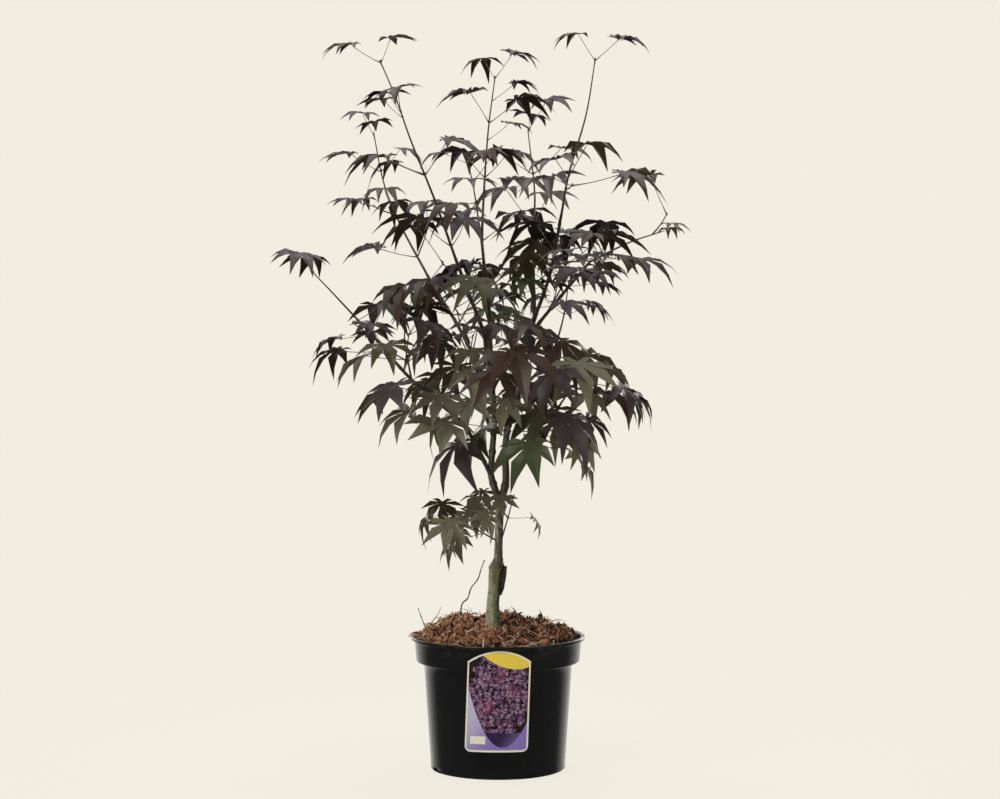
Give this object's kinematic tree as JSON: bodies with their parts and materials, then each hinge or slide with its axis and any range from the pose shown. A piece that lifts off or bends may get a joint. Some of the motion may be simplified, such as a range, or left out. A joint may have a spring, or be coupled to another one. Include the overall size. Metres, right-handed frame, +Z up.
{
  "type": "potted japanese maple",
  "caption": "Young dark-leaved Japanese maple on a grafted trunk with two stems, upright boughs and palmate leaves, in a round black nursery pot with mulch and a picture label",
  "frame": {"origin": "centre of the pot's flat underside, where it stands", "axes": "+Z up along the trunk, -Y toward the label and the viewer, +X to the viewer's right"},
  "size_m": [0.5409, 0.5066, 0.9585],
  "materials": {
    "pot_plastic": "black moulded plastic with a soft gloss",
    "coir_mulch": "loose red-brown bark fibre and chips",
    "label_card": null,
    "trunk_bark": "smooth grey-green bark with a rough graft knee",
    "young_bark": "smooth purple-brown young bark",
    "maple_leaf": "matt dark purple-brown leaves, green-tinged where shaded"
  },
  "bodies": {
    "root": {"pot": "pot_plastic", "soil": "coir_mulch", "label": "label_card", "trunk": "trunk_bark", "left_stem": "young_bark", "right_stem": "young_bark", "centre_bough": "young_bark", "left_tall_bough": "young_bark", "left_leaning_bough": "young_bark", "left_arm": "young_bark", "right_middle_bough": "young_bark", "right_tall_bough": "young_bark", "right_arm": "young_bark", "front_bough": "young_bark", "back_bough": "young_bark", "low_right_bough": "young_bark", "back_right_bough": "young_bark", "foliage_left_spire": "maple_leaf", "foliage_right_spire": "maple_leaf", "foliage_centre_spire": "maple_leaf", "foliage_left_leaning_spray": "maple_leaf", "foliage_right_middle_spire": "maple_leaf", "foliage_left_arm_spray": "maple_leaf", "foliage_right_arm_spray": "maple_leaf", "foliage_centre_spray": "maple_leaf", "foliage_left_arm_low": "maple_leaf", "foliage_left_arm_upper": "maple_leaf", "foliage_left_mid": "maple_leaf", "foliage_right_mid": "maple_leaf", "foliage_front_right": "maple_leaf", "foliage_centre_mid": "maple_leaf", "foliage_back_right_high": "maple_leaf", "foliage_back_left": "maple_leaf", "foliage_right_shoulder": "maple_leaf", "foliage_right_low": "maple_leaf", "foliage_right_droop": "maple_leaf", "foliage_lower_left": "maple_leaf", "foliage_centre_left": "maple_leaf", "foliage_centre_right": "maple_leaf", "foliage_centre_front": "maple_leaf", "foliage_centre_low": "maple_leaf", "foliage_centre_back": "maple_leaf", "foliage_back_right": "maple_leaf", "foliage_skirt_left": "maple_leaf", "foliage_skirt_back": "maple_leaf", "foliage_skirt_right": "maple_leaf"}
  },
  "joints": []
}
